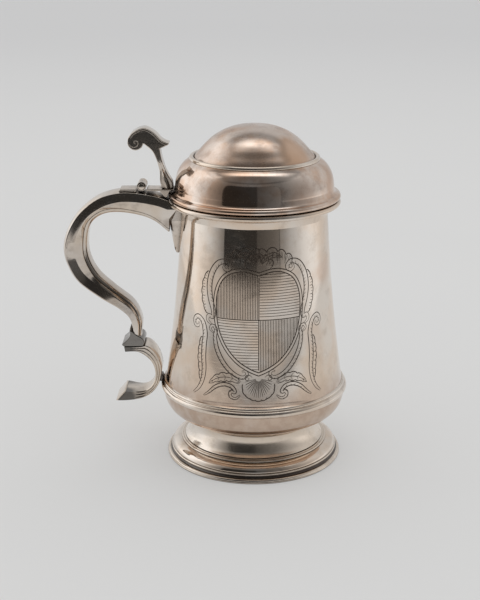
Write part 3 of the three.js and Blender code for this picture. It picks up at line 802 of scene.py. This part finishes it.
def on_wall(across, height, lift):
    """A point on the outside of the wall, by distance round it and height."""
    r = wall_radius(height)
    a = (across + ART_MIDDLE) / r - pi / 2
    reach = r + BODY_RIPPLE * hammering(a % TURN, height, r) + lift
    return (reach * cos(a), reach * sin(a), height)


def cut_line(run, width, swell=True, pitch=1.4):
    """One engraved stroke: a shallow dark ridge that swells and thins like a graver's cut."""
    length = sum(dist(a, b) for a, b in zip(run, run[1:]))
    count = max(2, int(length / pitch))
    run = even(run, count)
    rings = []
    for k, ((x, z), (wx, wz)) in enumerate(zip(run, directions(run))):
        half = width / 2 * ((0.45 + 0.55 * sin(pi * k / count)) if swell else 1)
        corners = [(-half, ROOTED), (half, ROOTED), (half * 0.8, PROUD), (-half * 0.8, PROUD)]
        rings.append([on_wall(x - wz * across, z + wx * across, lift) for across, lift in corners])
    return lofted(rings)


def field_span(across, polygon, vertical):
    """Where a straight hatch line crosses the field, as (low, high)."""
    hits = []
    for (x0, z0), (x1, z1) in zip(polygon, polygon[1:] + polygon[:1]):
        a0, a1, b0, b1 = (x0, x1, z0, z1) if vertical else (z0, z1, x0, x1)
        if (a0 - across) * (a1 - across) < 0:
            hits.append(b0 + (b1 - b0) * (across - a0) / (a1 - a0))
    return (min(hits), max(hits)) if len(hits) > 1 else None


def hatching(polygon):
    """Upright lines in two quarters of the field, level lines in the other two."""
    strokes = []
    for k in range(-26, 27):
        x = k * 1.02 + 0.02
        span = field_span(x, polygon, True)
        if span and abs(x) > 0.5:
            low, high = span[0] + 0.4, span[1] - 0.4
            run = [(x, FIELD_CROSS + 0.4), (x, high)] if x < 0 else [(x, low), (x, FIELD_CROSS - 0.4)]
            if run[1][1] - run[0][1] > 1.5:
                strokes.append(cut_line(run, 0.52, False, 5))
    z = 77.0
    while z < 138:
        span = field_span(z, polygon, False)
        if span and abs(z - FIELD_CROSS) > 0.8:
            run = [(0.5, z), (span[1] - 0.5, z)] if z > FIELD_CROSS else [(span[0] + 0.5, z), (-0.5, z)]
            if run[1][0] - run[0][0] > 1.5:
                strokes.append(cut_line(run, 0.46, False, 1.8))
        z += 1.75
    return strokes


def drawn(points, count):
    """A smooth line through the points, cut into equal steps."""
    return even(spline(points, 8 * (len(points) - 1)), count)


def ribbon(points, width, count, shading, side):
    """A scroll drawn as two lines that part in the middle and meet at the curled ends, with shading cuts."""
    run = drawn(points, count)
    half = [width / 2 * (0.22 + 0.78 * sin(pi * k / count) ** 0.6) for k in range(count + 1)]
    near, far = beside(run, half), beside(run, [-h for h in half])
    strokes = [cut_line(near, 0.80), cut_line(far, 0.80)]
    edge, way = (near, -1) if side > 0 else (far, 1)
    for k in range(shading):
        at = int(count * (0.12 + 0.76 * k / (shading - 1)))
        reach = half[at] * (1.0 if k % 2 else 0.7)
        (x, z), (nx, nz) = edge[at], inward(run)[at]
        ax, az = run[at + 2][0] - run[at][0], run[at + 2][1] - run[at][1]
        end = (x + way * reach * nx + ax, z + way * reach * nz + az)
        strokes.append(cut_line([(x, z), end], 0.36, True, 0.7))
    return strokes


def frill(points, depth, lobes, flutes, side):
    """A ruffled shell edge: a scalloped rim, long cuts between the lobes and fluting inside them."""
    lobe = 12
    count = lobes * lobe
    run = drawn(points, count)
    swell = [sin(pi * (0.06 + 0.88 * k / count)) ** 0.5 for k in range(count + 1)]
    scallop = [abs(sin(pi * k / lobe)) ** 0.55 for k in range(count + 1)]
    rim = beside(run, [side * depth * w * (0.74 + 0.26 * c) for w, c in zip(swell, scallop)])
    strokes = [cut_line(rim, 0.78, False, 0.7)]
    for k in range(lobes * flutes + 1):
        at = round(k * lobe / flutes)
        between = k % flutes == 0
        low, high = (0.16, 1.0) if between else (0.30 + 0.14 * (k % 2), 0.88)
        (x0, z0), (x1, z1) = run[at], rim[at]
        ends = [(x0 + (x1 - x0) * f, z0 + (z1 - z0) * f) for f in (low, high)]
        strokes.append(cut_line(ends, 0.56 if between else 0.40, True, 1.2))
    return strokes


def leaf(points, width, lobes):
    """An acanthus leaf: a midrib with a lobed edge on each side, and a vein to each lobe."""
    lobe = 10
    count = lobes * lobe
    run = drawn(points, count)
    strokes = [cut_line(run, 0.56)]
    for side in (1, -1):
        swell = [side * width * sin(pi * min(1, 0.08 + 0.92 * k / count)) ** 0.8
                 * (0.70 + 0.30 * abs(sin(pi * k / lobe)) ** 0.5) for k in range(count + 1)]
        edge = beside(run, swell)
        strokes.append(cut_line(edge, 0.72, True, 0.8))
        for k in range(lobes):
            low, high = run[k * lobe + 1], edge[k * lobe + 6]
            tip = (low[0] + 0.82 * (high[0] - low[0]), low[1] + 0.82 * (high[1] - low[1]))
            strokes.append(cut_line([low, tip], 0.38, True, 0.8))
    return strokes


# The right half of each scroll, ribbon and leaf round the field; the left half mirrors it.
UPPER_SCROLL = [
    (30.6, 103.2), (33.6, 105.4), (32.8, 108.6), (29.6, 108.0), (29.4, 112.4), (31.6, 120), (32.2, 128),
    (30.2, 136), (25.8, 142.2), (20.6, 143.8), (17.8, 141.0), (19.4, 138.2), (22.2, 139.6), (21.4, 141.8)]
LOWER_SCROLL = [
    (29.2, 98.2), (31.6, 100.2), (30.2, 102.6), (27.4, 100.8), (28.2, 95.4), (26.6, 87.8), (22.4, 80.2),
    (16.6, 74.4), (10.6, 71.8), (7.2, 73.4), (8.0, 76.2), (10.4, 75.4)]
FLANK = [
    (44.6, 57.6), (40.4, 61.4), (37.4, 67), (36.2, 74), (36.6, 82), (36.2, 90), (35.4, 97), (37.2, 103.6),
    (41.2, 106.4), (44.4, 104), (43.6, 100.4), (40.6, 100.6), (40.8, 103)]
SIDE_RUFFLE = [(33.2, 110), (34.6, 116), (35.0, 123), (34.2, 130), (32.0, 136)]
FLANK_RUFFLE = [(38.4, 67), (37.9, 74), (38.3, 81), (38.0, 88), (37.4, 94)]
FOOT_SCROLL = [(11.4, 60.6), (14.6, 58.2), (18.0, 59.6), (17.4, 62.6), (14.6, 62.0), (16.8, 65.6), (22, 66.6),
               (27.6, 64.4), (32.4, 60.2), (36.4, 57.4)]
FOOT_LEAF = [(11.6, 68.4), (16, 70.8), (21.6, 71.2), (27.4, 69.4), (32.6, 65.6)]
CREST = [(-20.5, 140.6), (-15, 141.8), (-8, 142.0), (0, 140.2), (8, 142.0), (15, 141.8), (20.5, 140.6)]
CREST_FAN = [(-6.4, 139.6), (-4.2, 141.4), (0, 142.2), (4.2, 141.4), (6.4, 139.6)]
SHELL = [(9.6, 67.6), (8.8, 62.6), (5.0, 59.4), (0, 58.2), (-5.0, 59.4), (-8.8, 62.6), (-9.6, 67.6)]


def build_engraving():
    right = spline(FIELD, 60)
    polygon = right + mirrored(right[-2:0:-1])
    strokes = [cut_line(polygon + polygon[:1], 0.85, False)]
    outer = inset(polygon, -1.9)
    strokes.append(cut_line(outer + outer[:1], 0.75, False))
    strokes.append(cut_line([(0, 76.5), (0, 134.5)], 0.7, False, 4))
    strokes.append(cut_line([(-26.4, FIELD_CROSS), (26.4, FIELD_CROSS)], 0.7, False))
    strokes += hatching(polygon)

    for flip, side in ((list, 1), (mirrored, -1)):
        strokes += ribbon(flip(UPPER_SCROLL), 3.6, 90, 22, -side)
        strokes += ribbon(flip(LOWER_SCROLL), 2.8, 80, 18, -side)
        strokes += ribbon(flip(FLANK), 3.4, 90, 26, side)
        strokes += ribbon(flip(FOOT_SCROLL), 2.2, 60, 12, side)
        strokes += frill(flip(SIDE_RUFFLE), 3.4, 5, 3, side)
        strokes += frill(flip(FLANK_RUFFLE), 3.0, 5, 2, side)
        strokes += leaf(flip(FOOT_LEAF), 2.9, 5)
        strokes += leaf(flip([(1.2, 143.4), (4.6, 146.8), (9.6, 148.4), (14.4, 146.6)]), 1.8, 4)
    for line, depth, lobes, flutes in ((CREST, 12.2, 9, 5), (CREST_FAN, 7.4, 5, 3), (SHELL, 1.2, 9, 1)):
        strokes += frill(line, depth, lobes, flutes, -1)
    # The shell under the field: ribs fan out from its hinge.
    for k in range(19):
        a = radians(190 + 160 * k / 18)
        rib = [(1.8 * cos(a), 71.4 + 1.8 * sin(a)), (8.8 * cos(a), 71.0 + 11.6 * sin(a))]
        strokes.append(cut_line(rib, 0.62 if k % 2 else 0.42, True, 1.2))
    for centre, flip in ((-6.8, 1), (6.8, -1)):
        strokes.append(cut_line(spiral((centre, 71.2), 0.3, 0.26, 2.9, 30, flip), 0.62, True, 0.5))
    piece("engraved_cartouche", strokes, GRAVER_LINE, BODY, crease=60)


# ---- studio

TENT_RADIUS = 0.62  # a round light tent about the body axis, which only the silver sees
TENT_TOP = 0.75
OPENING_MIDDLE, OPENING_HALF = -0.0585, 0.716  # radians round from the front
OPENING_TOP, OPENING_CORNER = 0.600, 0.11
SEAM_AT, SEAM_BLUR = 0.066, 0.006  # where the two halves of the dark opening meet, radians
FLOOR_REACH = 9.0
# The paper: distances over which its painted shade deepens, how much its colour is held back, and its glow of
# painted light.
PAPER_DIMS, PAPER_HELD, PAPER_GLOW = (0.5, 3.2), 0.42, 0.575
SUN_SPREAD, SUN_ENERGY, SUN_FROM = 110, 0.32, (0.15, 0.20, 1.0)
LENS, SENSOR = 73.67, 36
CAMERA_AT, CAMERA_DOWN, CAMERA_TURN = (0.0004, -0.7666, 0.3489), 17.66, 0.72  # from the axis, and degrees


def sheet_mesh(name, corners, material, faces, camera=True):
    """A part of the studio, seen by the camera or only by the silver."""
    made = shown(name, corners, faces, material)[0]
    made.visible_camera = camera
    made.visible_shadow = camera
    made.visible_diffuse = camera


def paper_material():
    """Pale paper, painted a little darker away from the middle as shade, with a glow of painted light that
    keeps the shadow faint.
    """
    material, g = new_material("pale_floor")
    where = g.where()
    colour = g.mix(g.noise(where, 1.3, 2), (0.81, 0.81, 0.805), (0.835, 0.835, 0.83))
    away = g.node("VectorMath", {0: where}, operation="LENGTH").outputs["Value"]
    colour = g.mix(g.times(g.step(away, *PAPER_DIMS), 0.85), colour, (0.70, 0.70, 0.705))
    colour = g.mix(PAPER_HELD, colour, grey(0.0))
    g.principled(colour, 0.9, Specular_IOR_Level=0.1, Emission_Color=colour, Emission_Strength=PAPER_GLOW)
    return material


# Brightness round the tent's wall, in degrees from behind (-180) over the front (0) to behind (180):
# near the table, at the height of the lid, and inside the opening.
LOW_ROUND = [(-180, 0.60), (-150, 0.70), (-120, 0.88), (-94, 1.00), (-81, 0.86), (-70, 0.70), (-59, 0.48),
             (-49, 0.27), (-44, 0.20), (37, 0.24), (45, 0.30), (55, 0.46), (65, 0.57), (76, 0.74), (90, 0.88),
             (104, 0.90), (120, 0.70), (150, 0.62), (180, 0.60)]
HIGH_ROUND = [(-180, 0.60), (-160, 0.60), (-140, 0.85), (-122, 1.20), (-98, 1.20), (-86, 0.98), (-75, 0.70),
              (-62, 0.40), (-50, 0.22), (-40, 0.15), (40, 0.15), (50, 0.22), (62, 0.32), (73, 0.40),
              (84, 0.50), (96, 0.58), (111, 0.64), (127, 0.62), (142, 0.56), (160, 0.56), (180, 0.60)]
OPENING_ROUND = [(-44, 0.085), (-34, 0.055), (2, 0.065), (12, 0.085), (26, 0.12), (37, 0.17)]
CLOTH_BLEND = (0.07, 0.17)  # heights between which the low table gives way to the high one
# The paper along the tent's foot: radians from the front where it ends, heights where it brightens and ends.
FOOT_SIDES, FOOT_SHADE, FOOT_EDGE = (1.25, 0.90), (0.006, 0.024), (0.0575, 0.044)


def bearing(g, x, y):
    """The angle round an axis from the front, in radians, and as a share of the way round from behind."""
    azimuth = g.math("ARCTAN2", x, g.times(y, -1.0))
    return azimuth, g.plus(g.math("DIVIDE", azimuth, TURN), 0.5)


def tent_material():
    """Bright cloth round a dark opening with rounded upper corners, and white paper along its foot."""
    material, g = new_material("tent_wall")
    x, y, z = g.apart(g.where())
    azimuth, share = bearing(g, g.minus(x, AXIS_X), y)
    cloth = g.mix(g.step(z, *CLOTH_BLEND), g.round_ramp(share, LOW_ROUND), g.round_ramp(share, HIGH_ROUND))
    # How far a point lies out from the middle of the opening's rounded corner.
    off = g.times(g.math("ABSOLUTE", g.minus(azimuth, OPENING_MIDDLE)), TENT_RADIUS)
    out_x = g.math("MAXIMUM", g.minus(off, OPENING_HALF * TENT_RADIUS - OPENING_CORNER), 0.0)
    out_z = g.math("MAXIMUM", g.minus(z, OPENING_TOP - OPENING_CORNER), 0.0)
    reach = g.math("SQRT", g.plus(g.times(out_x, out_x), g.times(out_z, out_z)))
    within = g.step(reach, OPENING_CORNER + 0.004, OPENING_CORNER - 0.004)
    frame_line = g.step(reach, OPENING_CORNER - 0.016, OPENING_CORNER - 0.006)
    half = g.mix(g.step(azimuth, SEAM_AT - SEAM_BLUR, SEAM_AT + SEAM_BLUR), grey(0.032),
                 g.round_ramp(share, OPENING_ROUND))
    dark = g.mix(g.times(frame_line, 0.7), half, grey(0.02))
    level = g.mix(within, cloth, dark)
    front = g.step(g.math("ABSOLUTE", azimuth), *FOOT_SIDES)
    paper = g.mix(g.step(z, *FOOT_SHADE), grey(0.32), grey(0.61))
    level = g.mix(g.times(front, g.step(z, *FOOT_EDGE)), level, paper)
    g.output(g.node("Emission", {"Color": level, "Strength": 1.0}))
    return material


def build_tent():
    sides = 180
    ring = [(AXIS_X + TENT_RADIUS * sin(a), -TENT_RADIUS * cos(a)) for a in around(sides)]
    corners = [(x, y, z) for z in (0.0, TENT_TOP) for x, y in ring]
    faces = [(k, (k + 1) % sides, (k + 1) % sides + sides, k + sides) for k in range(sides)]
    sheet_mesh("tent_wall", corners, tent_material(), faces, camera=False)


def build_stage():
    far = FLOOR_REACH
    corners = [(-far, -far, 0), (far, -far, 0), (far, far, 0), (-far, far, 0)]
    sheet_mesh("floor", corners, paper_material(), [(0, 1, 2, 3)])
    build_tent()

    light = bpy.data.lights.new("soft_top", "SUN")
    light.angle = radians(SUN_SPREAD)
    light.energy = SUN_ENERGY
    lamp = bpy.data.objects.new("soft_top", light)
    lamp.rotation_euler = Vector(SUN_FROM).to_track_quat("Z", "Y").to_euler()
    lamp.visible_glossy = False
    SCENE.collection.objects.link(lamp)


DEGREES = 180 / pi
CEILING, GAP, SOFT_BOX, WINDOW = 0.30, 0.5, 1.35, 0.9  # brightness, and for the gap the share taken away
EVEN_LIGHT, BACKDROP = 0.71, 0.592


def build_world():
    world = bpy.data.worlds.new("studio")
    SCENE.world = world
    world.use_nodes = True
    g = Graph(world.node_tree)
    x, y, z = g.apart(g.where("Generated"))
    azimuth, share = bearing(g, x, y)
    elevation = g.times(g.math("ARCSINE", z), DEGREES)
    # Overhead: a dim gap in front, a soft box, a bright window high on the left, and the ceiling.
    over = g.times(g.math("ARCTAN2", z, g.times(y, -1.0)), DEGREES)
    aside = g.math("ABSOLUTE", g.minus(x, 0.03))
    box = g.times(g.times(g.step(over, 80, 92), g.step(over, 113, 99)), g.step(aside, 0.62, 0.15))
    window = g.times(g.step(azimuth, -2.5, -2.2), g.step(azimuth, -1.1, -1.5))
    window = g.times(window, g.step(elevation, 64, 52))
    gap = g.times(g.step(g.math("COSINE", azimuth), 0.0, 0.9), g.step(over, 84, 76))
    above = g.step(elevation, 44, 54)
    level = g.node("Mix", {0: above, 2: g.round_ramp(share, HIGH_ROUND), 3: CEILING},
                   data_type="FLOAT").outputs[0]
    level = g.times(level, g.minus(1.0, g.times(gap, GAP)))
    level = g.plus(level, g.times(box, SOFT_BOX))
    level = g.math("MAXIMUM", level, g.times(window, WINDOW))
    # The silver sees those, matt surfaces an even light, and the camera a plain backdrop.
    lit, soft, plain = [g.node("Background", {"Color": colour, "Strength": 1.0}).outputs[0]
                        for colour in (level, (*grey(EVEN_LIGHT), 1), (*grey(BACKDROP), 1))]
    ray = g.node("LightPath").outputs
    mixed = g.node("MixShader", {0: ray["Is Diffuse Ray"], 1: lit, 2: soft}).outputs[0]
    g.output(g.node("MixShader", {0: ray["Is Camera Ray"], 1: mixed, 2: plain}), "World")


def build_camera():
    lens = bpy.data.cameras.new("camera")
    lens.lens, lens.sensor_width = LENS, SENSOR
    lens.clip_start, lens.clip_end = 0.01, 50
    camera = bpy.data.objects.new("camera", lens)
    camera.location = (AXIS_X + CAMERA_AT[0], *CAMERA_AT[1:])
    camera.rotation_euler = Euler((radians(90 - CAMERA_DOWN), 0, radians(CAMERA_TURN)))
    SCENE.collection.objects.link(camera)
    SCENE.camera = camera


SCENE.view_settings.view_transform = "Standard"
build_camera()
build_body()
build_lid()
build_upper_handle()
build_lower_handle()
build_fixings()
build_hinge()
build_thumbpiece()
build_engraving()
build_stage()
build_world()
